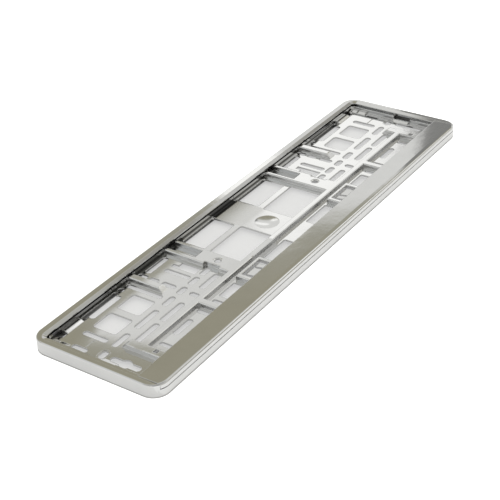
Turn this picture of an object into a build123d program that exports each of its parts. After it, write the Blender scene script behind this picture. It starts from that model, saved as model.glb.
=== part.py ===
from build123d import *
import os

# Number plate holder, lying on its back, face up. X runs along the plate, +Y points to the plate's
# top edge, and the back of the outer wall stands on z = 0. The origin is in the middle of the back.

# Number plate that the holder takes
plate_length = 520.0
plate_width = 110.0
plate_clearance = 0.5
groove_height = 1.6

# Rim: from the outer wall to the plate's stop at the ends and on the top side, and the strip's depth
# below the plate
rim_width = 6.5
top_rim_width = 7.6
front_depth = 16.5
corner_radius = 15.0
edge_radius = 1.3
rim_flat = 5.0
top_rim_flat = 6.8
lip_overlap = 2.1
top_ledge = 2.3
end_ledge = 5.5
lip_corner = 3.0
well_corner = 4.0

# Levels above the back
floor_top = 4.8
seat_top = 9.0
lip_edge_top = 11.4
height = 12.7

# Wall sections
outer_wall = 1.8
sheet = 1.6

# Raised ribs: feet and tops along X, right half
rib_edge = 0.6
main_rib = (75.0, 75.6, 95.2, 95.8)
buttress_rib = (140.9, 141.5, 148.6, 149.4)
plateau = (60.0, 60.5, 97.9, 98.4)
end_rib = (219.2, 219.8, 228.8, 229.4)
bead_from_front = 49.5
bead_top_width = 5.4
bead_foot_width = 7.4
rib_join = 0.6
plateau_from_bead = 7.5
buttress_start = 41.0
buttress_ramp = 5.0
end_rib_rise = 17.5
end_rib_ramp = 5.0
under_strip_reach = 19.0

# Main rib: screw hole, long pocket and the step beside the screw hole
screw_hole = 5.6
screw_sink = 8.4
screw_sink_depth = 0.9
screw_hole_at = (85.2, 21.0)
pocket_span = (79.0, 91.4)
pocket_start = 42.5
step_x = 92.3
step_span = (13.5, 30.5)

# Floor openings: spans along X on the right half, heights counted up from the bead
slot_width = 6.0
row_a_height = 23.9
row_a_spans = [(94.5, 108.0), (112.0, 126.0), (130.5, 143.0), (148.0, 164.0), (172.0, 202.5), (211.5, 232.5)]
row_b_height = 11.5
row_b_spans = [(99.0, 126.0), (151.5, 183.0), (187.5, 217.5)]
upright_width = 5.8
end_cut = 0.29
upright_slots = [
    (229.2, 32.5, 58.5),
    (154.5, 32.5, 71.5),
    (135.8, 31.5, 46.5),
    (135.8, 50.5, 60.5),
    (135.8, 63.0, 73.0),
    (136.3, 6.0, 15.5),
    (117.2, 29.5, 57.5),
]
square_spans = [(162.6, 187.0), (194.6, 219.0)]
square_heights = (32.5, 57.7)
square_corner = 3.0
stepped_window = [(99.5, 29.5), (110.0, 29.5), (110.0, 56.5), (105.0, 56.5), (105.0, 50.5), (99.5, 50.5)]
upper_window = (20.0, 70.0, 47.0)
lower_window = (18.6, 71.5, 5.0, 40.7)
window_corner = 1.2
engraved_at = (238.9, 43.0)
engraved_length = 11.4
engraved_width = 0.6
engraved_depth = 0.35

# Floor openings and a raised block along the top wall, counted down from the wall's foot
wall_strip = 3.1
wall_slots = [(100.0, 130.0, 7.5), (171.0, 210.5, 9.1)]
wall_slot_width = 6.4
wall_gap = (168.5, 214.5, 6.4, 1.4)
wall_hole = 6.0
wall_hole_at = (163.3, 4.8)
foot_block = (217.0, 238.0, 7.3)
foot_rise = 1.6
foot_slope = 2.7
foot_hole = (5.6, 9.3)

# Floor openings beside the end wall, counted in from the wall's foot
end_upright = (6.2, 38.5, 54.5)
end_slot = (4.5, 15.2)
end_slot_sink = 9.0
end_gap = (3.4, 0.4)
end_gap_spans = [(23.0, 37.0), (-18.5, -6.5)]
keyhole_in = 9.2
keyhole_span = (-15.5, 15.2)
keyhole_width = 6.6
keyhole_bulge = 11.4
keyhole_bulge_height = -0.2

# Floor openings below the bead, which run on under the strip
low_uprights = [(208.5, 4.9, -6.5), (154.3, 5.4, -5.5), (135.3, 4.8, -8.5)]
low_slot = (168.0, 193.0, -9.5)
low_windows = [(102.6, 127.0, -8.5), (18.6, 56.0, -8.5)]
low_window_reach = 20.0

# Round dish in the middle of the floor
dish_width = 24.0
dish_depth = 1.9
dish_height = 23.3

# Windows in the seat ledge and the sprung tabs in front of them
ledge_window_end = (2.5, 22.5)
ledge_window_sill = 0.9
end_tabs = [(3.5, 21.5), (56.0, 65.0), (66.5, 74.5)]
tab_reach = 6.4
tab_rise = 1.9

# Retaining strip
strip_width = 25.0
strip_border = 5.5
strip_fall = 0.45
strip_skin = 1.8
strip_gap = 0.3
strip_edge_radius = 2.4
seam_level = 7.7
strip_seam = 0.7
stop_rib = 1.8
strip_end_wall = 1.5
plate_play = 0.2

# Snap tongues of the strip, some split in two, and the windows that they catch in: spans along X on
# the right half
clip_windows = [(64.5, 93.5), (221.2, 225.8)]
clip_window_heights = (-21.5, -10.5)
end_clip_heights = (-16.5, -12.5)
tongue_spans = [[(69.0, 74.4), (77.0, 89.0)], [(221.9, 224.1)]]
tongue_thick = 1.5
tongue_drop = 0.4
barb_rise = 1.3
barb_gap = 0.35
tongue_end_gap = 1.5
tongue_gap = 0.4

# Places that follow from the sizes above
length = plate_length + 2 * (plate_clearance + rim_width)
width = plate_width + 2 * plate_clearance + top_rim_width + front_depth
stop_x = plate_length / 2 + plate_clearance
stop_y = width / 2 - top_rim_width
front_y = -width / 2
plate_stop_y = front_y + front_depth
strip_inner_y = front_y + strip_width
bead_y = front_y + bead_from_front
end_wall_x = stop_x - end_ledge
top_wall_y = stop_y - top_ledge
lip_x = plate_length / 2 - lip_overlap
lip_y = stop_y - plate_clearance - lip_overlap
floor_bottom = floor_top - sheet
seat_bottom = seat_top - sheet
groove_top = seat_top + groove_height
under_strip_y = front_y + under_strip_reach
strip_half = stop_x - strip_gap
strip_under = groove_top - plate_play
past = 1.0


def outline(inset):
    """Plan of the holder's outer wall, moved in by an inset."""
    return RectangleRounded(length - 2 * inset, width - 2 * inset, corner_radius - inset)


def slab(sketch, low, high):
    return extrude(Pos(0, 0, low) * sketch, high - low)


def block(x_span, y_span, z_span):
    low = (x_span[0], y_span[0], z_span[0])
    size = (x_span[1] - x_span[0], y_span[1] - y_span[0], z_span[1] - z_span[0])
    return Pos(*low) * Box(*size, align=(Align.MIN, Align.MIN, Align.MIN))


def along_y(points, y_from, y_to):
    """Section in X and Z, run along Y."""
    plane = Plane(origin=(0, y_from, 0), x_dir=(1, 0, 0), z_dir=(0, -1, 0))
    return extrude(plane * make_face(Polyline(*points, close=True)), y_to - y_from, dir=(0, 1, 0))


def along_x(points, x_from, x_to):
    """Section in Y and Z, run along X."""
    plane = Plane(origin=(x_from, 0, 0), x_dir=(0, 1, 0), z_dir=(1, 0, 0))
    return extrude(plane * make_face(Polyline(*points, close=True)), x_to - x_from)


def hat_outer(span):
    """Outer section of a rib: feet on the floor sheet, top level with the plate's seat."""
    foot_a, top_a, top_b, foot_b = span
    lean = rib_edge / (seat_top - floor_top)
    return [
        (foot_a, floor_bottom),
        (foot_a, floor_top),
        (top_a - lean * (top_a - foot_a), seat_top - rib_edge),
        (top_a + rib_edge, seat_top),
        (top_b - rib_edge, seat_top),
        (top_b + lean * (foot_b - top_b), seat_top - rib_edge),
        (foot_b, floor_top),
        (foot_b, floor_bottom),
    ]


def hat_inner(span):
    """Hollow under a rib, one sheet's thickness inside its outer section."""
    foot_a, top_a, top_b, foot_b = span
    return [
        (foot_a + sheet, floor_bottom - past),
        (foot_a + sheet, floor_bottom),
        (top_a + sheet, seat_bottom),
        (top_b - sheet, seat_bottom),
        (foot_b - sheet, floor_bottom),
        (foot_b - sheet, floor_bottom - past),
    ]


def bead_span():
    half_top = bead_top_width / 2
    half_foot = bead_foot_width / 2
    return (bead_y - half_foot, bead_y - half_top, bead_y + half_top, bead_y + half_foot)


def rib(span, y_from, y_to):
    return along_y(hat_outer(span), y_from, y_to)


def rib_hollow(span, y_from, y_to):
    return along_y(hat_inner(span), y_from, y_to)


def ramp_cut(span, y_low, y_high):
    """Slopes a rib's end: takes away what lies above a line from the seat to the floor."""
    points = [(y_low, seat_top + past), (y_low, seat_top), (y_high, floor_top), (y_high, seat_top + past)]
    return along_x(points, span[0] - past, span[3] + past)


def floor_cut(sketch):
    return slab(sketch, -past, floor_top + sheet)


def window_sketch(x_span, y_span, corner):
    """Window with cut corners."""
    middle = ((x_span[0] + x_span[1]) / 2, (y_span[0] + y_span[1]) / 2)
    window = Rectangle(x_span[1] - x_span[0], y_span[1] - y_span[0])
    return Pos(*middle) * chamfer(window.vertices(), corner)


def round_window(x_span, y_span, radius):
    middle = ((x_span[0] + x_span[1]) / 2, (y_span[0] + y_span[1]) / 2)
    return Pos(*middle) * RectangleRounded(x_span[1] - x_span[0], y_span[1] - y_span[0], radius)


def screw_slot(x_span, y, slot=slot_width):
    return Pos((x_span[0] + x_span[1]) / 2, y) * SlotOverall(x_span[1] - x_span[0], slot)


def plain_slot(x_span, y_span):
    """Slot with eight-sided ends, along X or along Y."""
    narrow = min(x_span[1] - x_span[0], y_span[1] - y_span[0])
    return window_sketch(x_span, y_span, end_cut * narrow)


def level_slot(x_span, y, slot):
    return plain_slot(x_span, (y - slot / 2, y + slot / 2))


def upright_slot(x, y_span, slot=upright_width):
    return plain_slot((x - slot / 2, x + slot / 2), y_span)


def both_sides(solids):
    """The right half's solids and their mirror images on the left half."""
    return solids + [mirror(solid, about=Plane.YZ) for solid in solids]


def outer_body(radius):
    """The holder's full outside, with a rounded top edge."""
    body = slab(outline(0), 0, height)
    return fillet(body.faces().sort_by(Axis.Z)[-1].edges(), radius)


def shell():
    """Outer wall, rim, lip, seat ledge and floor sheet, before ribs and openings."""
    open_front = front_y - corner_radius
    inside = outline(outer_wall)

    def inner_plan(half_x, top_y):
        return Pos(0, (open_front + top_y) / 2) * Rectangle(2 * half_x, top_y - open_front)

    well = Pos(0, (open_front + top_wall_y) / 2) * RectangleRounded(
        2 * end_wall_x, top_wall_y - open_front, well_corner
    )
    rim_gap = inside - inner_plan(end_wall_x + sheet, top_wall_y + sheet)
    deep_gap = inside - inner_plan(stop_x + sheet, stop_y + sheet)

    body = outer_body(edge_radius)
    body -= slab(inside, -past, floor_bottom)
    body -= slab(rim_gap, 0, seat_bottom)
    body -= slab(deep_gap, 0, height - sheet)
    body -= slab(well & inside, floor_top, height + past)
    body -= block((-stop_x, stop_x), (plate_stop_y, stop_y), (seat_top, groove_top))
    body -= lip_opening(open_front)
    body -= block((-stop_x, stop_x), (open_front, strip_inner_y + strip_gap), (seat_top, height + past))
    body -= block((-stop_x, stop_x), (open_front, plate_stop_y + strip_gap), (seam_level, height + past))
    return body


def lip_opening(open_front):
    """Opening inside the lip, with a bevel from the lip's edge up to the rim's flat top."""
    bevel_x = length / 2 - rim_flat
    bevel_y = width / 2 - top_rim_flat
    bevel_corner = lip_corner + bevel_x - lip_x

    def plan(half_x, top_y, radius):
        middle = (open_front + top_y) / 2
        return Pos(0, middle) * RectangleRounded(2 * half_x, top_y - open_front, radius)

    low = Pos(0, 0, lip_edge_top) * plan(lip_x, lip_y, lip_corner)
    high = Pos(0, 0, height) * plan(bevel_x, bevel_y, bevel_corner)
    bevel = loft([low, high], ruled=True)
    straight = slab(plan(lip_x, lip_y, lip_corner), seat_top, lip_edge_top)
    keep = block((-length, length), (front_y + rim_flat, width), (0, height + past))
    return (bevel + straight) & keep


def ribs():
    """Raised ribs of the right half: main rib, buttress, its lower run, plateau, end rib."""
    top = top_wall_y + sheet / 2
    buttress_low = bead_y + buttress_start
    end_rib_top = bead_y + end_rib_rise
    buttress = rib(buttress_rib, buttress_low - buttress_ramp, top)
    end = rib(end_rib, under_strip_y, end_rib_top)
    return [
        rib(main_rib, bead_y - rib_join, top),
        buttress - ramp_low(buttress_rib, buttress_low),
        rib(buttress_rib, under_strip_y, bead_y + rib_join),
        rib(plateau, under_strip_y, bead_y - plateau_from_bead),
        end - ramp_cut(end_rib, end_rib_top - end_rib_ramp, end_rib_top),
    ]


def ramp_low(span, y_high):
    """Slopes the lower end of the buttress rib."""
    y_low = y_high - buttress_ramp
    points = [(y_high, seat_top + past), (y_high, seat_top), (y_low, floor_top), (y_low, seat_top + past)]
    return along_x(points, span[0] - past, span[3] + past)


def rib_hollows():
    """Hollows under the right half's ribs, open to the back."""
    main = rib_hollow(main_rib, bead_y - rib_join, bead_y + pocket_start - sheet)
    beside_step = block(
        (step_x - sheet, main_rib[3]),
        (bead_y + step_span[0] - sheet, bead_y + step_span[1] + sheet),
        (0, seat_top),
    )
    return [
        main - beside_step,
        rib_hollow(buttress_rib, bead_y + buttress_start, top_wall_y),
        rib_hollow(buttress_rib, under_strip_y + sheet, bead_y + rib_join),
        rib_hollow(plateau, under_strip_y + sheet, bead_y - plateau_from_bead - sheet),
        rib_hollow(end_rib, under_strip_y + sheet, bead_y + end_rib_rise - end_rib_ramp - sheet),
    ]


def main_rib_cuts():
    """Screw hole with its sink, the long pocket and the step beside the hole."""
    hole_at = Pos(screw_hole_at[0], bead_y + screw_hole_at[1])
    sink = Pos(0, 0, seat_top - screw_sink_depth / 2) * Cone(
        screw_hole / 2, screw_sink / 2, screw_sink_depth
    )
    return [
        slab(hole_at * Circle(screw_hole / 2), 0, height),
        hole_at * sink,
        block(pocket_span, (bead_y + pocket_start, top_wall_y), (floor_top, height)),
        block(
            (step_x, main_rib[3] + past),
            (bead_y + step_span[0], bead_y + step_span[1]),
            (floor_top, height),
        ),
    ]


def floor_openings():
    """Slots and windows of the right half of the floor sheet."""
    cuts = [screw_slot(span, bead_y + row_a_height) for span in row_a_spans]
    cuts += [screw_slot(span, bead_y + row_b_height) for span in row_b_spans]
    cuts += [upright_slot(x, (bead_y + low, bead_y + high)) for x, low, high in upright_slots]
    squares = (bead_y + square_heights[0], bead_y + square_heights[1])
    cuts += [round_window(span, squares, square_corner) for span in square_spans]
    cuts.append(make_face(Polyline(*[(x, bead_y + y) for x, y in stepped_window], close=True)))
    upper = (bead_y + upper_window[2], top_wall_y - wall_strip)
    lower = (bead_y + lower_window[2], bead_y + lower_window[3])
    cuts.append(window_sketch(upper_window[:2], upper, window_corner))
    cuts.append(window_sketch(lower_window[:2], lower, window_corner))
    cuts += wall_openings() + end_openings() + low_openings()
    return [floor_cut(cut) for cut in cuts]


def wall_openings():
    """Openings along the top wall's foot."""
    cuts = [level_slot((a, b), top_wall_y - down, wall_slot_width) for a, b, down in wall_slots]
    gap_a, gap_b, gap_low, gap_high = wall_gap
    cuts.append(window_sketch((gap_a, gap_b), (top_wall_y - gap_low, top_wall_y - gap_high), window_corner))
    cuts.append(Pos(wall_hole_at[0], top_wall_y - wall_hole_at[1]) * Circle(wall_hole / 2))
    _, hole_from, hole_down = foot_block
    cuts.append(make_face(Polyline(
        (hole_from, top_wall_y - hole_down),
        (hole_from + foot_hole[0], top_wall_y - hole_down),
        (hole_from + foot_hole[1], top_wall_y),
        (hole_from, top_wall_y),
        close=True,
    )))
    return cuts


def end_openings():
    """Openings beside the end wall: a short upright, a screw slot, the long keyhole and two gaps."""
    upright_in, upright_low, upright_high = end_upright
    gap_x = (end_wall_x - end_gap[0], end_wall_x - end_gap[1])
    gaps = [window_sketch(gap_x, (bead_y + a, bead_y + b), window_corner) for a, b in end_gap_spans]
    slot_out, slot_in = end_slot
    keyhole_x = end_wall_x - keyhole_in
    bulge = Pos(keyhole_x, bead_y + keyhole_bulge_height) * Circle(keyhole_bulge / 2)
    keyhole = upright_slot(keyhole_x, (bead_y + keyhole_span[0], bead_y + keyhole_span[1]), keyhole_width)
    return [
        upright_slot(end_wall_x - upright_in, (bead_y + upright_low, bead_y + upright_high)),
        screw_slot((end_wall_x - slot_in, end_wall_x - slot_out), bead_y + row_a_height),
        keyhole + bulge,
    ] + gaps


def low_openings():
    """Openings below the bead, open to the space under the strip."""
    low_y = front_y + low_window_reach
    cuts = [upright_slot(x, (low_y, bead_y + top), wide) for x, wide, top in low_uprights]
    cuts.append(level_slot(low_slot[:2], bead_y + low_slot[2], slot_width))
    for x_from, x_to, top in low_windows:
        cuts.append(window_sketch((x_from, x_to), (low_y, bead_y + top), window_corner))
    return cuts


def ledge_cuts():
    """Windows through the seat ledge: at the ribs' heads on the top side and one in each end."""
    sill = floor_top + ledge_window_sill
    cuts = []
    for span in (main_rib, buttress_rib):
        x_span = (span[1] + rib_edge / 2, span[2] - rib_edge / 2)
        cuts.append(block(x_span, (top_wall_y - past, stop_y), (sill, groove_top)))
    y_span = (bead_y + ledge_window_end[0], bead_y + ledge_window_end[1])
    cuts.append(block((end_wall_x - past, stop_x), y_span, (sill, groove_top)))
    return cuts


def tabs():
    """Sprung tabs that slope up from the floor to the end wall."""
    points = [
        (end_wall_x - tab_reach, floor_bottom),
        (end_wall_x + sheet / 2, floor_bottom),
        (end_wall_x + sheet / 2, floor_top + tab_rise),
        (end_wall_x - tab_reach, floor_top),
    ]
    return [along_y(points, bead_y + low, bead_y + high) for low, high in end_tabs]


def wall_block():
    """Block with a sloped front on the floor at the top wall's foot."""
    x_from, x_to, down = foot_block
    front = top_wall_y - down
    back = top_wall_y + sheet / 2
    points = [
        (front, floor_bottom),
        (front, floor_top),
        (front + foot_slope, floor_top + foot_rise),
        (back, floor_top + foot_rise),
        (back, floor_bottom),
    ]
    return along_x(points, x_from, x_to)


def dish():
    """Shallow round dish in the floor: the hollow that is cut and the bowl under it."""
    ball = ((dish_width / 2) ** 2 + dish_depth ** 2) / (2 * dish_depth)
    centre = Pos(0, bead_y + dish_height, floor_top - dish_depth + ball)
    reach = dish_width / 2 + sheet
    y_span = (bead_y + dish_height - reach, bead_y + dish_height + reach)
    hollow = centre * Sphere(ball) & block((-reach, reach), y_span, (0, floor_top))
    bowl = centre * Sphere(ball + sheet) & block((-reach, reach), y_span, (0, floor_bottom))
    return hollow, bowl


def floor_relief():
    """Sink round the end screw slot and the fine line beside the end upright."""
    slot_out, slot_in = end_slot
    wider = (end_slot_sink - slot_width) / 2
    sink = screw_slot(
        (end_wall_x - slot_in - wider, end_wall_x - slot_out + wider), bead_y + row_a_height, end_slot_sink
    )
    line_x, line_up = engraved_at
    line = Pos(line_x, bead_y + line_up) * Rectangle(engraved_length, engraved_width)
    depth = (floor_top - engraved_depth, floor_top + past)
    return [slab(sink, *depth), slab(line, *depth)]


def clip_window_cuts():
    """Windows in the plateau and the end rib, and the tunnels that the tongues slide in by."""
    cuts = []
    tunnel_y = (under_strip_y - past, under_strip_y + 2 * sheet)
    for x_span, heights, arms in zip(clip_windows, (clip_window_heights, end_clip_heights), tongue_spans):
        y_span = (bead_y + heights[0], bead_y + heights[1])
        cuts.append(block(x_span, y_span, (floor_top, seat_top + past)))
        tunnel_x = (arms[0][0] - tongue_gap, arms[-1][1] + tongue_gap)
        cuts.append(block(tunnel_x, tunnel_y, (floor_top, seat_bottom)))
    return cuts


def base_frame():
    dish_hollow, dish_bowl = dish()
    bead_half = end_rib[1] + rib_edge
    bead = along_x(hat_outer(bead_span()), -bead_half, bead_half)
    bead_hollow = along_x(hat_inner(bead_span()), -bead_half, bead_half)
    body = shell() + [bead, dish_bowl] + both_sides(ribs() + tabs() + [wall_block()])
    body -= [bead_hollow] + both_sides(rib_hollows())
    body -= both_sides(main_rib_cuts() + floor_openings() + ledge_cuts() + floor_relief())
    body -= both_sides(clip_window_cuts())
    return body - dish_hollow


def tongue(x_span, heights):
    """Snap tongue under the plate's seat, with a barb that catches the window's lower edge."""
    top = seat_bottom - tongue_drop
    low = top - tongue_thick
    window_low = bead_y + heights[0]
    tip = bead_y + heights[1] - tongue_end_gap
    catch = window_low + barb_gap
    points = [
        (plate_stop_y - stop_rib / 2, low),
        (tip, low),
        (tip, top),
        (catch, top + barb_rise),
        (catch, top),
        (plate_stop_y - stop_rib / 2, top),
    ]
    return along_x(points, *x_span)


def tongues():
    heights = (clip_window_heights, end_clip_heights)
    return both_sides([tongue(arm, reach) for arms, reach in zip(tongue_spans, heights) for arm in arms])


def retaining_strip():
    """Bottom bar: a face that falls gently inward, a skirt on the front wall and a stop rib."""
    seam = seam_level + strip_seam
    border_y = front_y + strip_border
    skin_under = height - strip_skin
    rib_back = plate_stop_y - stop_rib
    face = [
        (front_y - past, seam),
        (front_y - past, height + past),
        (border_y, height + past),
        (border_y, height),
        (strip_inner_y, height - strip_fall),
        (strip_inner_y, strip_under),
        (plate_stop_y, strip_under),
        (plate_stop_y, seam),
    ]
    cavity = outline(outer_wall) & Pos(0, (front_y + rib_back) / 2) * Rectangle(
        2 * (strip_half - strip_end_wall), rib_back - front_y
    )
    bar = outer_body(strip_edge_radius) & along_x(face, -strip_half, strip_half)
    bar -= slab(cavity, 0, skin_under)
    foot_half = end_wall_x - strip_gap
    foot = block((-foot_half, foot_half), (rib_back, plate_stop_y), (floor_top, skin_under))
    return bar + [foot] + tongues()


os.makedirs("parts", exist_ok=True)
for name, make in (("base_frame", base_frame), ("retaining_strip", retaining_strip)):
    export_step(make(), f"parts/{name}.step")
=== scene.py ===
import bpy
import math
from mathutils import Matrix, Vector


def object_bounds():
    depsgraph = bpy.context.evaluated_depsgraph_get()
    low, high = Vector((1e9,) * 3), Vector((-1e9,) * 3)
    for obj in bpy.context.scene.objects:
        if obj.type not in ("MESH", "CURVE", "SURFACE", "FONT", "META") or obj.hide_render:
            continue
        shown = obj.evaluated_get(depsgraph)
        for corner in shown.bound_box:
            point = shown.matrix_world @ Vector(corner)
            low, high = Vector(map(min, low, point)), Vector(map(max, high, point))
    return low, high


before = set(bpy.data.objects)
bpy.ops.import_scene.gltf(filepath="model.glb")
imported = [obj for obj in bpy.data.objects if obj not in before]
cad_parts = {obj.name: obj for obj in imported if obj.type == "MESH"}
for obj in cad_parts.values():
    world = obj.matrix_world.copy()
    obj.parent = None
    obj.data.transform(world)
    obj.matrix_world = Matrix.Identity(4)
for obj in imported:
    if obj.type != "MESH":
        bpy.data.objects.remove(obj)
cad_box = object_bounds()
scene = bpy.context.scene
scene.view_settings.view_transform = "Standard"

# Lengths are in metres. Where a zone's edge is a pair, the zone is 0 at the first value and 1 at the second.

# Camera, solved from the photograph: position, viewing direction and roll about that direction
CAMERA_AT = (-0.8263, -0.5562, 0.5986)
CAMERA_LOOK = (0.6927, 0.4888, -0.5303)
CAMERA_ROLL = math.radians(-2.757)
CAMERA_LENS = 87.2
CAMERA_SENSOR = 36.0
CAMERA_CLIP = 0.01

# Soft lamp overhead, which the chrome doesn't mirror
LAMP_AT = (0.3, 0.5, 2.4)
LAMP_SIZE = 2.0
LAMP_ENERGY = 2.0

# Studio that the chrome mirrors: radiance by height above the horizon in degrees
SKY = [
    (-10, (1.0, 1.0, 1.0)),
    (0, (1.0, 1.0, 1.0)),
    (8, (0.95, 0.95, 0.93)),
    (18, (0.93, 0.93, 0.91)),
    (28.6, (0.93, 0.93, 0.91)),
    (29.9, (0.45, 0.44, 0.37)),
    (33, (0.42, 0.40, 0.31)),
    (38, (0.42, 0.40, 0.31)),
    (43, (0.80, 0.80, 0.77)),
    (53, (0.85, 0.85, 0.83)),
    (60, (0.48, 0.48, 0.46)),
    (72, (0.50, 0.50, 0.48)),
    (90, (0.80, 0.80, 0.80)),
]
SKY_LOW = -10.0
SKY_HIGH = 90.0

# Soft patches laid over it in turn: azimuth, height, inner and outer half-angle in degrees, radiance
PATCHES = [
    (215.0, 31.0, 9.0, 22.0, (0.02, 0.02, 0.02)),
    (140.0, 33.0, 9.0, 13.0, (0.95, 0.99, 1.01)),
    (152.5, 26.5, 4.0, 7.0, (0.50, 0.52, 0.54)),
    (5.5, 54.0, 3.0, 5.0, (0.60, 0.60, 0.56)),
    (5.0, 49.0, 2.0, 4.0, (0.46, 0.45, 0.41)),
    (4.4, 43.5, 1.8, 4.0, (0.72, 0.72, 0.70)),
    (3.8, 39.0, 1.4, 3.5, (0.42, 0.41, 0.38)),
    (-9.0, 42.5, 5.0, 8.0, (1.50, 1.50, 1.48)),
    (-17.0, 41.0, 7.0, 11.0, (1.40, 1.40, 1.38)),
    (-45.5, 17.0, 4.0, 6.5, (0.68, 0.66, 0.58)),
    (-30.0, 22.5, 2.5, 4.5, (0.62, 0.60, 0.54)),
    (-41.0, 10.0, 6.5, 9.5, (0.74, 0.72, 0.64)),
    (-41.5, 30.5, 4.0, 6.0, (0.20, 0.20, 0.19)),
    (-36.0, 28.3, 3.5, 5.5, (0.12, 0.12, 0.11)),
    (-31.5, 26.3, 2.5, 4.0, (0.12, 0.12, 0.11)),
    (35.2, 28.4, 1.0, 2.2, (1.40, 1.40, 1.37)),
    (27.6, 22.4, 1.4, 2.9, (1.30, 1.30, 1.28)),
    (30.2, 22.3, 1.6, 2.9, (1.33, 1.33, 1.31)),
    (21.5, 26.5, 4.8, 5.5, (0.30, 0.30, 0.29)),
]
WHITE = (1.0, 1.0, 1.0)

# Ground: paper colour in the open, and under the holder a darker paper colour as painted shade
PAPER = (0.80, 0.80, 0.80)
PAPER_PAINTED_SHADE = (0.50, 0.50, 0.50)
GROUND_HALF = 6.0
GROUND_DROP = 0.00005
# Its own light for the camera: evenly in the open, and as painted light through the slots
OPEN_GLOW = 1.0
SLOT_PAINTED_LIGHT = 0.45
# Its own light in the chrome's reflections: evenly in the open, a painted pool of light in front of the
# holder, and painted light through the slots
MIRROR_GLOW = 0.45
FRONT_PAINTED_LIGHT = 0.14
FRONT_SOFT = 0.002
MIRROR_SLOT_PAINTED_LIGHT = 0.36
# Edges of the open by distance from the holder's outline, for the camera and for the chrome; for the chrome
# the glow fades out next to the outline as a painted contact shadow
OUTLINE_CORNER = 0.015
SEEN_OPEN = (-0.0010, -0.0002)
MIRRORED_OPEN = (0.0002, 0.0022)
# The ground below the floor sheet that glows with painted light, as the camera and as the chrome see it
SEEN_BAY_LOW = -0.0480
SEEN_BAY_TOP = 0.0561
MIRRORED_BAY_LOW = -0.0630
MIRRORED_BAY_TOP = 0.0490
BAY_X = (0.2548, 0.2540)
BAY_LOW_SOFT = 0.0010
BAY_TOP_SOFT = 0.0004

# Chrome: share of light that it reflects, varied a little by a cloud
CHROME = (0.665, 0.665, 0.66)
CLOUD_SCALE = 55.0
CLOUD_DETAIL = 3.0
CLOUD_EDGE = (0.35, 0.7)
CLOUD_TONE = 0.97
WAVE_HEIGHT = 0.00004
# Roughness of rim and strip, varied by a fine grain
RIM_ROUGHNESS = 0.045
GRAIN_SCALE = 900.0
GRAIN_DETAIL = 2.0
GRAIN_EDGE = (0.4, 0.7)
GRAIN_DULLING = 1.3
# Rounding of edges in the shader
EDGE_ROUNDING = 0.0006
RIB_ROUNDING = 0.0014
CRISP_ROUNDING = 0.00015
BEVEL_SAMPLES = 6

# Painted shade on the base: the groove and the foot of the top wall, then the far end of the middle pad,
# darkened where shade falls
PAINTED_SHADE_CHROME = (0.10, 0.10, 0.095)
GROOVE_Y = (0.0573, 0.0575)
GROOVE_TOP = (0.0107, 0.0105)
GROOVE_BOTTOM = (0.0086, 0.0088)
FOOT_Y = (0.0570, 0.0574)
FOOT_TOP = (0.0070, 0.0056)
FOOT_SHARE = 0.9
# Painted shade at the far end of the middle pad, dark as a shaded opening
PAD_END_PAINTED_SHADE = (0.02, 0.02, 0.019)
PAD_END_X = (0.0188, 0.0180)
PAD_END_Y = (0.0514, 0.0524)
PAD_END_TOP = (0.0051, 0.0049)
# They stop inside the rim, so that the outer wall stays bright
INSIDE_X = (0.2608, 0.2605)
INSIDE_Y = (0.0645, 0.0640)

# Sunk part of the base, below the lip, and the zones in it
SUNK_TOP = (0.0096, 0.0093)
SUNK_X = (0.2600, 0.2595)
SUNK_Y = (0.0600, 0.0595)
PAD_X = (0.0202, 0.0192)
PAD_Y = (0.016, 0.024)
BEAD_Y = -0.01805
BEAD_HALF = (0.0041, 0.0045)
RIB_BOTTOM = (0.0049, 0.0052)
DISH_Y = 0.00525
DISH_RADIUS = 0.012
DISH_CORE = 0.95
# Its walls by the size of their normal's Z, and the walls that face the ends by that of its X
STEEP = (0.80, 0.60)
END_ON = (0.50, 0.80)
FLOOR_ROUGHNESS = 0.07
PAD_ROUGHNESS = 0.22
DISH_ROUGHNESS = 0.08
WALL_ROUGHNESS = 0.10
RIB_ROUGHNESS = 0.28
BEAD_ROUGHNESS = 0.32

# Crisp edges round the groove, at the top and at the left end
LIP_LOW = (0.0560, 0.0564)
LIP_HIGH = (0.0606, 0.0602)
LEFT_END_X = (-0.2550, -0.2555)

# Bevel of the end lips, eased by bump; its faces are found by the size of their normal's X
END_LIP_FROM = 0.2620
END_LIP_WIDTH = 0.0041
END_LIP_SLOPE = 0.30
END_BEVEL = (0.15, 0.25)

# Bow of the floor sheet along X: a bowl on each side of a step, levelled off towards the left end
STEP_AT = -0.065
LEFT_RADIUS = 3.4
LEFT_LOW_AT = -0.032
RIGHT_RADIUS = 5.88
RIGHT_LOW_AT = 0.441
LEVEL_RADIUS = 0.8
LEVEL_FROM = -0.205
# Its fall along Y, which runs out before the top wall and towards the right half
FALL_SLOPE = 0.05
FALL_FROM = 0.028
FALL_TO = 0.044
FALL_X = (-0.025, -0.065)
# The pad rises to the top wall instead, and the dish is flattened to a large ball's curve
PAD_RISE_RADIUS = 0.19
PAD_RISE_FROM = 0.026
DISH_BALL = 0.115
UPRIGHT = (0.0, 0.0, 1.0)
# Fine unevenness of the floor sheet
SPECKLE_HEIGHT = 0.000005
RIPPLE_HEIGHT = 0.000012
RIPPLE_SCALE = 170.0
RIPPLE_DETAIL = 2.0


def is_output(value):
    return hasattr(value, "is_output")


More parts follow.
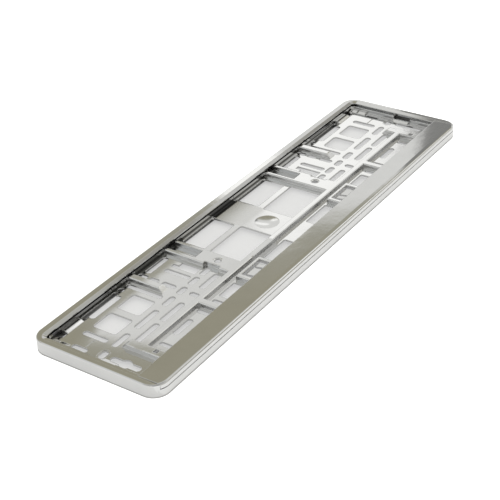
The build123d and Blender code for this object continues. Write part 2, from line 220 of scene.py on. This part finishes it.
class Tree:
    """Small helper around a node tree. Values are numbers or the outputs of nodes."""

    # Places of A, B and the result among the Mix node's sockets
    MIX_SOCKETS = {"FLOAT": (2, 3, 0), "VECTOR": (4, 5, 1), "RGBA": (6, 7, 2)}

    def __init__(self, tree):
        self.tree = tree
        tree.nodes.clear()

    def add(self, kind, **values):
        node = self.tree.nodes.new(kind)
        for name, value in values.items():
            setattr(node, name, value)
        return node

    def feed(self, socket, value):
        if is_output(value):
            self.tree.links.new(value, socket)
        else:
            socket.default_value = value

    def math(self, operation, *values):
        node = self.add("ShaderNodeMath", operation=operation)
        for socket, value in zip(node.inputs, values):
            self.feed(socket, value)
        return node.outputs[0]

    def product(self, first, *others):
        for other in others:
            first = self.math("MULTIPLY", first, other)
        return first

    def square(self, value):
        return self.math("MULTIPLY", value, value)

    def size(self, value):
        return self.math("ABSOLUTE", value)

    def clamp(self, value, low, high):
        return self.math("MINIMUM", self.math("MAXIMUM", value, low), high)

    def ramp(self, value, start, end):
        """0 at start and before it, 1 at end and past it, smooth between; start may be the larger."""
        node = self.add("ShaderNodeMapRange", interpolation_type="SMOOTHSTEP")
        self.feed(node.inputs["Value"], value)
        node.inputs["From Min"].default_value = min(start, end)
        node.inputs["From Max"].default_value = max(start, end)
        node.inputs["To Min"].default_value = 0.0 if start < end else 1.0
        node.inputs["To Max"].default_value = 1.0 if start < end else 0.0
        return node.outputs["Result"]

    def mix(self, kind, factor, a, b):
        node = self.add("ShaderNodeMix", data_type=kind)
        first, second, result = self.MIX_SOCKETS[kind]
        for index, value in ((0, factor), (first, a), (second, b)):
            self.feed(node.inputs[index], value)
        return node.outputs[result]

    def tint(self, factor, a, b):
        colours = [colour if is_output(colour) else (*colour, 1.0) for colour in (a, b)]
        return self.mix("RGBA", factor, *colours)

    def blend(self, factor, a, b):
        return self.mix("FLOAT", factor, a, b)

    def lean(self, factor, a, b):
        return self.mix("VECTOR", factor, a, b)

    def bowl(self, value, low_at, radius):
        """Height of a shallow bowl of that radius, lowest where the value is low_at."""
        return self.math("DIVIDE", self.square(self.math("SUBTRACT", value, low_at)), 2.0 * radius)

    def split(self, vector):
        node = self.add("ShaderNodeSeparateXYZ")
        self.feed(node.inputs[0], vector)
        return node.outputs

    def noise(self, vector, scale, detail):
        node = self.add("ShaderNodeTexNoise")
        self.feed(node.inputs["Vector"], vector)
        node.inputs["Scale"].default_value = scale
        node.inputs["Detail"].default_value = detail
        return node.outputs[0]


def direction(azimuth, height):
    a, e = math.radians(azimuth), math.radians(height)
    return (math.cos(e) * math.cos(a), math.cos(e) * math.sin(a), math.sin(e))


def sky_place(degrees):
    return (degrees - SKY_LOW) / (SKY_HIGH - SKY_LOW)


def build_world():
    world = bpy.data.worlds.new("studio")
    scene.world = world
    world.use_nodes = True
    t = Tree(world.node_tree)
    ray = t.add("ShaderNodeTexCoord").outputs["Generated"]
    _, _, up = t.split(ray)
    degrees_up = t.math("MULTIPLY", t.math("ARCSINE", up), math.degrees(1.0))
    sky = t.add("ShaderNodeValToRGB")
    stops = sky.color_ramp.elements
    while len(stops) < len(SKY):
        stops.new(0.5)
    for stop, (degrees, radiance) in zip(stops, SKY):
        stop.position = sky_place(degrees)
        stop.color = (*radiance, 1.0)
    t.feed(sky.inputs[0], t.math("DIVIDE", t.math("SUBTRACT", degrees_up, SKY_LOW), SKY_HIGH - SKY_LOW))
    colour = sky.outputs[0]
    for azimuth, height, inner, outer, radiance in PATCHES:
        dot = t.add("ShaderNodeVectorMath", operation="DOT_PRODUCT")
        t.feed(dot.inputs[0], ray)
        dot.inputs[1].default_value = direction(azimuth, height)
        edge = [math.cos(math.radians(angle)) for angle in (outer, inner)]
        colour = t.tint(t.ramp(dot.outputs["Value"], *edge), colour, radiance)
    to_camera = t.add("ShaderNodeLightPath").outputs["Is Camera Ray"]
    background = t.add("ShaderNodeBackground")
    t.feed(background.inputs["Color"], t.tint(to_camera, colour, WHITE))
    background.inputs["Strength"].default_value = 1.0
    output = t.add("ShaderNodeOutputWorld")
    t.feed(output.inputs["Surface"], background.outputs[0])


def beyond_outline(t, x, y):
    """Distance outside the holder's rounded outline; negative under the holder."""
    squares = []
    for value, reach in ((x, cad_box[1][0]), (y, cad_box[1][1])):
        past = t.math("SUBTRACT", t.size(value), reach - OUTLINE_CORNER)
        squares.append(t.square(t.math("MAXIMUM", past, 0.0)))
    return t.math("SUBTRACT", t.math("SQRT", t.math("ADD", *squares)), OUTLINE_CORNER)


def bays_with_painted_light(t, x, y, low_y, top_y):
    """1 under the floor sheet from low_y to top_y, where the ground glows with painted light, 0 under the
    hollow rim.
    """
    above_low = t.ramp(y, low_y, low_y + BAY_LOW_SOFT)
    below_top = t.ramp(y, top_y + BAY_TOP_SOFT, top_y - BAY_TOP_SOFT)
    return t.product(t.ramp(t.size(x), *BAY_X), t.product(above_low, below_top))


def ground_paper():
    """White paper. Under the holder its colour is darker as painted shade, and through the slots it glows
    pale grey with painted light.
    """
    material = bpy.data.materials.new("ground_paper")
    material.use_nodes = True
    t = Tree(material.node_tree)
    x, y, _ = t.split(t.add("ShaderNodeNewGeometry").outputs["Position"])
    beyond = beyond_outline(t, x, y)
    seen_open = t.ramp(beyond, *SEEN_OPEN)
    # Painted contact shadow: for the chrome the glow fades out next to the holder's outline
    mirrored_open = t.ramp(beyond, *MIRRORED_OPEN)
    # Painted light: masks of the ground that glows through the slots
    seen_painted_light = bays_with_painted_light(t, x, y, SEEN_BAY_LOW, SEEN_BAY_TOP)
    mirrored_painted_light = bays_with_painted_light(t, x, y, MIRRORED_BAY_LOW, MIRRORED_BAY_TOP)
    diffuse = t.add("ShaderNodeBsdfDiffuse")
    # Painted shade: under the holder the paper colour is darkened
    t.feed(diffuse.inputs["Color"], t.tint(seen_open, PAPER_PAINTED_SHADE, PAPER))

    # Painted light: for the camera the ground glows through the slots
    seen = t.math("ADD", t.product(seen_open, OPEN_GLOW), t.product(seen_painted_light, SLOT_PAINTED_LIGHT))
    front_y = cad_box[0][1]
    # Painted light: a brighter pool on the ground in front of the holder, in the chrome's reflections
    front_painted_pool = t.product(mirrored_open, t.ramp(y, front_y, front_y - FRONT_SOFT))
    in_open = t.math("MULTIPLY_ADD", front_painted_pool, FRONT_PAINTED_LIGHT, t.product(mirrored_open, MIRROR_GLOW))
    # Painted light: in the chrome's reflections the ground glows through the slots
    mirrored = t.math("ADD", in_open, t.product(mirrored_painted_light, MIRROR_SLOT_PAINTED_LIGHT))
    path = t.add("ShaderNodeLightPath").outputs
    by_mirror = t.math("MAXIMUM", path["Is Glossy Ray"], path["Is Transmission Ray"])
    glow = t.add("ShaderNodeEmission")
    strength = t.math("ADD", t.product(path["Is Camera Ray"], seen), t.product(by_mirror, mirrored))
    t.feed(glow.inputs["Strength"], strength)

    both = t.add("ShaderNodeAddShader")
    t.feed(both.inputs[0], diffuse.outputs[0])
    t.feed(both.inputs[1], glow.outputs[0])
    output = t.add("ShaderNodeOutputMaterial")
    t.feed(output.inputs["Surface"], both.outputs[0])
    return material


def build_floor():
    half = GROUND_HALF
    corners = [(-half, -half, 0), (half, -half, 0), (half, half, 0), (-half, half, 0)]
    mesh = bpy.data.meshes.new("ground")
    mesh.from_pydata(corners, [], [(0, 1, 2, 3)])
    mesh.materials.append(ground_paper())
    ground = bpy.data.objects.new("ground", mesh)
    ground.location.z = -GROUND_DROP
    scene.collection.objects.link(ground)


def build_lamp():
    lamp = bpy.data.lights.new("soft_top", "AREA")
    lamp.shape = "DISK"
    lamp.size = LAMP_SIZE
    lamp.energy = LAMP_ENERGY
    lamp_object = bpy.data.objects.new("soft_top", lamp)
    lamp_object.location = LAMP_AT
    lamp_object.rotation_euler = (-Vector(LAMP_AT)).to_track_quat("-Z", "Y").to_euler()
    lamp_object.visible_glossy = False
    scene.collection.objects.link(lamp_object)


def build_camera():
    camera = bpy.data.cameras.new("camera")
    camera.sensor_fit = "HORIZONTAL"
    camera.sensor_width = CAMERA_SENSOR
    camera.lens = CAMERA_LENS
    camera.clip_start = CAMERA_CLIP
    camera_object = bpy.data.objects.new("camera", camera)
    turn = Vector(CAMERA_LOOK).to_track_quat("-Z", "Y").to_matrix().to_4x4()
    roll = Matrix.Rotation(CAMERA_ROLL, 4, "Z")
    camera_object.matrix_world = Matrix.Translation(CAMERA_AT) @ turn @ roll
    scene.collection.objects.link(camera_object)
    scene.camera = camera_object


class Plating:
    """Chrome on moulded plastic, as the strip has it. Each method gives one input of the shader."""

    def __init__(self, name):
        self.material = bpy.data.materials.new(name)
        self.material.use_nodes = True
        self.t = Tree(self.material.node_tree)
        self.geometry = self.t.add("ShaderNodeNewGeometry")
        self.place = self.geometry.outputs["Position"]
        self.cloud = self.t.noise(self.place, CLOUD_SCALE, CLOUD_DETAIL)
        self.grain = self.t.noise(self.place, GRAIN_SCALE, GRAIN_DETAIL)

    def tone(self):
        clouded = [share * CLOUD_TONE for share in CHROME]
        return self.t.tint(self.t.ramp(self.cloud, *CLOUD_EDGE), CHROME, clouded)

    def roughness(self):
        dull = self.t.ramp(self.grain, *GRAIN_EDGE)
        return self.t.blend(dull, RIM_ROUGHNESS, RIM_ROUGHNESS * GRAIN_DULLING)

    def rounding(self):
        return EDGE_ROUNDING

    def height(self):
        return self.t.product(self.cloud, WAVE_HEIGHT)

    def normal(self, rounded):
        return rounded

    def build(self):
        t = self.t
        bevel = t.add("ShaderNodeBevel", samples=BEVEL_SAMPLES)
        t.feed(bevel.inputs["Radius"], self.rounding())
        bump = t.add("ShaderNodeBump")
        bump.inputs["Strength"].default_value = 1.0
        bump.inputs["Distance"].default_value = 1.0
        t.feed(bump.inputs["Height"], self.height())
        t.feed(bump.inputs["Normal"], self.normal(bevel.outputs[0]))
        shader = t.add("ShaderNodeBsdfPrincipled")
        shader.inputs["Metallic"].default_value = 1.0
        t.feed(shader.inputs["Base Color"], self.tone())
        t.feed(shader.inputs["Roughness"], self.roughness())
        t.feed(shader.inputs["Normal"], bump.outputs[0])
        output = t.add("ShaderNodeOutputMaterial")
        t.feed(output.inputs["Surface"], shader.outputs[0])
        return self.material


class BasePlating(Plating):
    """The base's chrome. Its sunk part is rougher and less flat than the rim, and some zones have painted
    shade.
    """

    def __init__(self, name):
        super().__init__(name)
        t = self.t
        self.x, self.y, self.z = t.split(self.place)
        self.x_size = t.size(self.x)
        normal_x, _, normal_z = t.split(self.geometry.outputs["True Normal"])
        self.faces_end = t.size(normal_x)
        self.faces_up = t.size(normal_z)
        in_rim = t.product(t.ramp(self.x_size, *SUNK_X), t.ramp(t.size(self.y), *SUNK_Y))
        self.sunk = t.product(t.ramp(self.z, *SUNK_TOP), in_rim)
        self.pad = t.product(t.ramp(self.x_size, *PAD_X), t.ramp(self.y, *PAD_Y))
        self.off_bead = t.ramp(t.size(t.math("SUBTRACT", self.y, BEAD_Y)), *BEAD_HALF)
        from_dish = t.square(t.math("SUBTRACT", self.y, DISH_Y))
        dish_square = t.math("ADD", t.square(self.x), from_dish)
        self.dish_square = t.math("MINIMUM", dish_square, DISH_RADIUS ** 2)
        self.dish = t.ramp(self.dish_square, DISH_RADIUS ** 2, (DISH_CORE * DISH_RADIUS) ** 2)

    def tone(self):
        t, y, z = self.t, self.y, self.z
        # Painted shade: the groove and the foot of the top wall are darkened
        groove = t.product(t.ramp(y, *GROOVE_Y), t.ramp(z, *GROOVE_TOP), t.ramp(z, *GROOVE_BOTTOM))
        foot = t.product(t.ramp(y, *FOOT_Y), t.ramp(z, *FOOT_TOP), FOOT_SHARE)
        # Painted shade: the far end of the middle pad is darkened like a shaded opening
        pad_end = t.product(t.ramp(y, *PAD_END_Y), t.ramp(z, *PAD_END_TOP), t.ramp(self.x_size, *PAD_END_X))
        inside = t.product(t.ramp(y, *INSIDE_Y), t.ramp(self.x_size, *INSIDE_X))
        painted_shade = t.product(t.math("MAXIMUM", groove, foot), inside)
        tone = t.tint(painted_shade, super().tone(), PAINTED_SHADE_CHROME)
        return t.tint(t.product(pad_end, inside), tone, PAD_END_PAINTED_SHADE)

    def roughness(self):
        t = self.t
        level = t.blend(self.pad, FLOOR_ROUGHNESS, PAD_ROUGHNESS)
        level = t.blend(self.dish, level, DISH_ROUGHNESS)
        wall = t.blend(self.off_bead, BEAD_ROUGHNESS, WALL_ROUGHNESS)
        wall = t.blend(t.ramp(self.faces_end, *END_ON), wall, RIB_ROUGHNESS)
        sunk = t.blend(t.ramp(self.faces_up, *STEEP), level, wall)
        return t.blend(self.sunk, super().roughness(), sunk)

    def rounding(self):
        t = self.t
        rib = t.product(self.sunk, self.off_bead, t.ramp(self.z, *RIB_BOTTOM))
        bead = t.product(self.sunk, t.math("SUBTRACT", 1.0, self.off_bead))
        lip = t.product(t.ramp(self.y, *LIP_LOW), t.ramp(self.y, *LIP_HIGH))
        crisp = t.math("MAXIMUM", lip, t.ramp(self.x, *LEFT_END_X))
        crisp = t.math("MAXIMUM", crisp, bead)
        return t.blend(crisp, t.blend(rib, EDGE_ROUNDING, RIB_ROUNDING), CRISP_ROUNDING)

    def height(self):
        return self.t.blend(self.sunk, self.rim_height(), self.floor_height())

    def rim_height(self):
        t = self.t
        inward = t.clamp(t.math("SUBTRACT", END_LIP_FROM, self.x_size), 0.0, END_LIP_WIDTH)
        on_bevel = t.product(inward, t.ramp(self.faces_end, *END_BEVEL))
        return t.math("MULTIPLY_ADD", on_bevel, END_LIP_SLOPE, super().height())

    def floor_height(self):
        t = self.t
        hollow = t.math("DIVIDE", self.dish_square, 2.0 * DISH_BALL)
        speckle = t.product(self.grain, SPECKLE_HEIGHT)
        ripple = t.product(t.noise(self.place, RIPPLE_SCALE, RIPPLE_DETAIL), RIPPLE_HEIGHT)
        bow = t.math("ADD", self.bow_along(), self.bow_across())
        return t.math("ADD", t.math("ADD", bow, hollow), t.math("ADD", speckle, ripple))

    def bow_along(self):
        t, x = self.t, self.x
        left = t.bowl(t.math("MINIMUM", x, STEP_AT), LEFT_LOW_AT, LEFT_RADIUS)
        right = t.bowl(t.math("MAXIMUM", x, STEP_AT), RIGHT_LOW_AT, RIGHT_RADIUS)
        level = t.bowl(t.math("MINIMUM", x, LEVEL_FROM), LEVEL_FROM, LEVEL_RADIUS)
        return t.math("SUBTRACT", t.math("ADD", left, right), level)

    def bow_across(self):
        t, y = self.t, self.y
        slope = t.product(t.math("MAXIMUM", t.math("SUBTRACT", FALL_FROM, y), 0.0), FALL_SLOPE)
        run_out = t.bowl(t.clamp(y, FALL_FROM, FALL_TO), FALL_TO, (FALL_TO - FALL_FROM) / FALL_SLOPE)
        fall = t.product(t.math("ADD", slope, run_out), t.ramp(self.x, *FALL_X))
        rise = t.bowl(t.math("MAXIMUM", y, PAD_RISE_FROM), PAD_RISE_FROM, PAD_RISE_RADIUS)
        return t.blend(self.pad, fall, rise)

    def normal(self, rounded):
        return self.t.lean(self.dish, rounded, UPRIGHT)


def dress(node, material):
    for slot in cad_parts[node].material_slots:
        slot.material = material


build_camera()
build_world()
build_floor()
build_lamp()
dress("base_frame", BasePlating("chrome_plating").build())
dress("retaining_strip", Plating("strip_plating").build())
